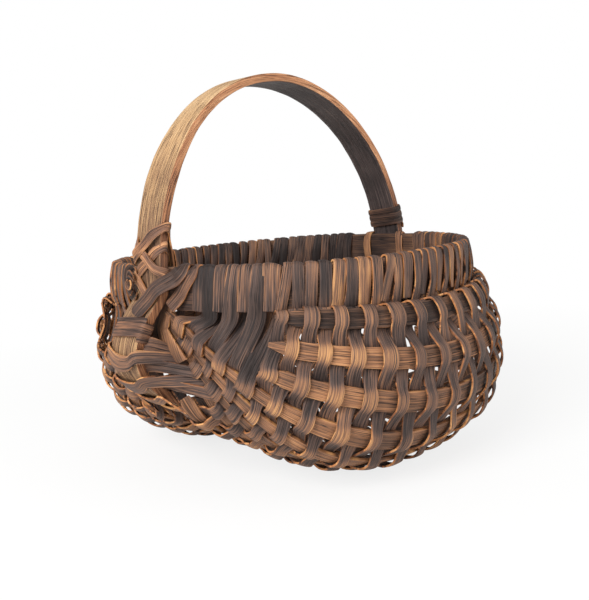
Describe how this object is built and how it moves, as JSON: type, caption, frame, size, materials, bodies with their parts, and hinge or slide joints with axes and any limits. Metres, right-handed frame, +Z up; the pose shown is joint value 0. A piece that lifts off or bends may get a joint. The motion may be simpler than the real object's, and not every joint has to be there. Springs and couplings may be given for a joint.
{
  "type": "buttock basket",
  "caption": "Buttock basket woven from split oak, with two full lobes, a wrapped rim and a fixed hoop handle.",
  "frame": {"origin": "on the floor plane, below the centre of the basket's bounding box", "axes": "+Z up, +X along the line from the left ear to the right ear, +Y towards the back lobe; the front lobe is at -Y"},
  "size_m": [0.2778, 0.2886, 0.2563],
  "materials": {
    "handle_oak": "aged split oak, hand-shaved, dull",
    "rim_oak": "aged split oak, hand-shaved, dull",
    "rib_oak": "aged split oak, riven, dull",
    "weaver_oak": "aged split oak, riven, darkened and dull",
    "lashing_oak": "aged split oak, riven, slightly polished by handling"
  },
  "bodies": {
    "root": {"handle_hoop": "handle_oak", "rim_hoop": "rim_oak", "rib_front_1": "rib_oak", "rib_front_2": "rib_oak", "rib_front_3": "rib_oak", "rib_front_4": "rib_oak", "rib_front_5": "rib_oak", "rib_front_6": "rib_oak", "rib_front_7": "rib_oak", "rib_front_8": "rib_oak", "rib_back_1": "rib_oak", "rib_back_2": "rib_oak", "rib_back_3": "rib_oak", "rib_back_4": "rib_oak", "rib_back_5": "rib_oak", "rib_back_6": "rib_oak", "rib_back_7": "rib_oak", "rib_back_8": "rib_oak", "weaver_01": "weaver_oak", "weaver_02": "weaver_oak", "weaver_03": "weaver_oak", "weaver_04": "weaver_oak", "weaver_05": "weaver_oak", "weaver_06": "weaver_oak", "weaver_07": "weaver_oak", "weaver_08": "weaver_oak", "weaver_09": "weaver_oak", "weaver_10": "weaver_oak", "weaver_11": "weaver_oak", "weaver_12": "weaver_oak", "weaver_13": "weaver_oak", "weaver_14": "weaver_oak", "weaver_15": "weaver_oak", "weaver_16": "weaver_oak", "weaver_17": "weaver_oak", "weaver_18": "weaver_oak", "weaver_19": "weaver_oak", "weaver_20": "weaver_oak", "weaver_21": "weaver_oak", "ear_lashing_left": "lashing_oak", "ear_lashing_right": "lashing_oak", "handle_wrap": "lashing_oak", "spine_wrap": "lashing_oak"}
  },
  "joints": []
}
